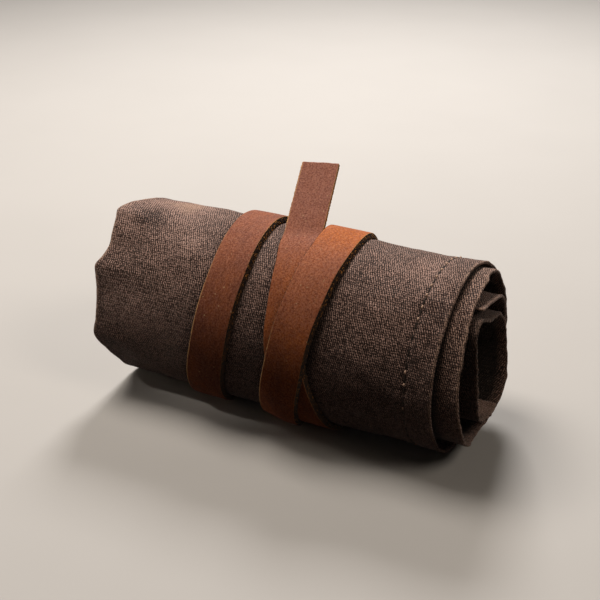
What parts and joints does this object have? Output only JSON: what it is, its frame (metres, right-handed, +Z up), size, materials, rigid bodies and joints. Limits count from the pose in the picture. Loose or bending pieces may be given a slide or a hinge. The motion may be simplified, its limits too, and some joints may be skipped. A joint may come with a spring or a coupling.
{
  "type": "watch roll",
  "caption": "Rolled waxed canvas watch holder with inner pockets and a cover flap, tied by a wound flat leather strap whose free end lifts and folds.",
  "frame": {"origin": "on the ground plane below the middle of the roll, on the lowest face of the strap, which the roll rests on", "axes": "+X along the roll towards its open end, -Y the front where the outer turn runs down, +Z up"},
  "size_m": [0.2007, 0.1034, 0.1206],
  "materials": {
    "outer_canvas": "waxed, matte",
    "flap_canvas": "waxed, matte",
    "pocket_cloth": "matte",
    "thread": "waxed thread",
    "strap_leather": "oiled, semi-matte"
  },
  "bodies": {
    "roll": {"outer_canvas": "outer_canvas", "cover_flap": "flap_canvas", "pocket_panel": "pocket_cloth", "edge_topstitching": "thread", "outer_end_hem_stitching": "thread", "inner_end_hem_stitching": "thread", "pocket_divider_stitching": "thread", "pocket_mouth_stitching": "thread", "wound_strap": "strap_leather", "strap_anchor_stitching": "thread"},
    "tail": {"strap_tail": "strap_leather"}
  },
  "joints": [
    {"name": "tail_bend", "type": "hinge", "parent": "roll", "child": "tail", "pos_m": [0.00631, -0.00512, 0.09574], "axis": [0.9726, 0.2311, 0.0243], "range_deg": [-20, 76]}
  ]
}
